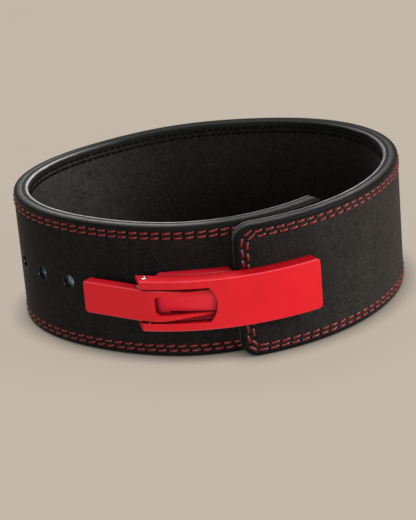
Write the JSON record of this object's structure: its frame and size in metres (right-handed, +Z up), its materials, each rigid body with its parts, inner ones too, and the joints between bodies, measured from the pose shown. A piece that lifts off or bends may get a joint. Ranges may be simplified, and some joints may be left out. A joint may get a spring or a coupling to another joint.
{
  "type": "lever-buckle weightlifting belt",
  "caption": "Fastened weightlifting belt of thick suede-faced leather, standing on its lower edge, held by a red cast lever buckle.",
  "frame": {"origin": "middle of the footprint, on the surface that the lower edge stands on", "axes": "+Z up along the belt's width, -Y towards the buckle, +X to the right of someone who looks at the buckle"},
  "size_m": [0.2896, 0.255, 0.1],
  "materials": {
    "outer_nubuck": "black nubuck, matt, stitched with red thread",
    "painted_edge": "leather core, its cut edge painted grey and burnished",
    "inner_suede": "black suede, matt, stitched with black thread",
    "red_coat": "satin red coat on cast zinc",
    "steel": "bright steel"
  },
  "bodies": {
    "root": {"outer_suede": "outer_nubuck", "leather_core": "painted_edge", "inner_suede": "inner_suede", "lever_handle": "red_coat", "hook_plate": "red_coat", "base_plate": "red_coat", "lever_pin": "steel", "link_pin": "steel", "base_screw_left": "steel", "base_screw_right": "steel"}
  },
  "joints": []
}
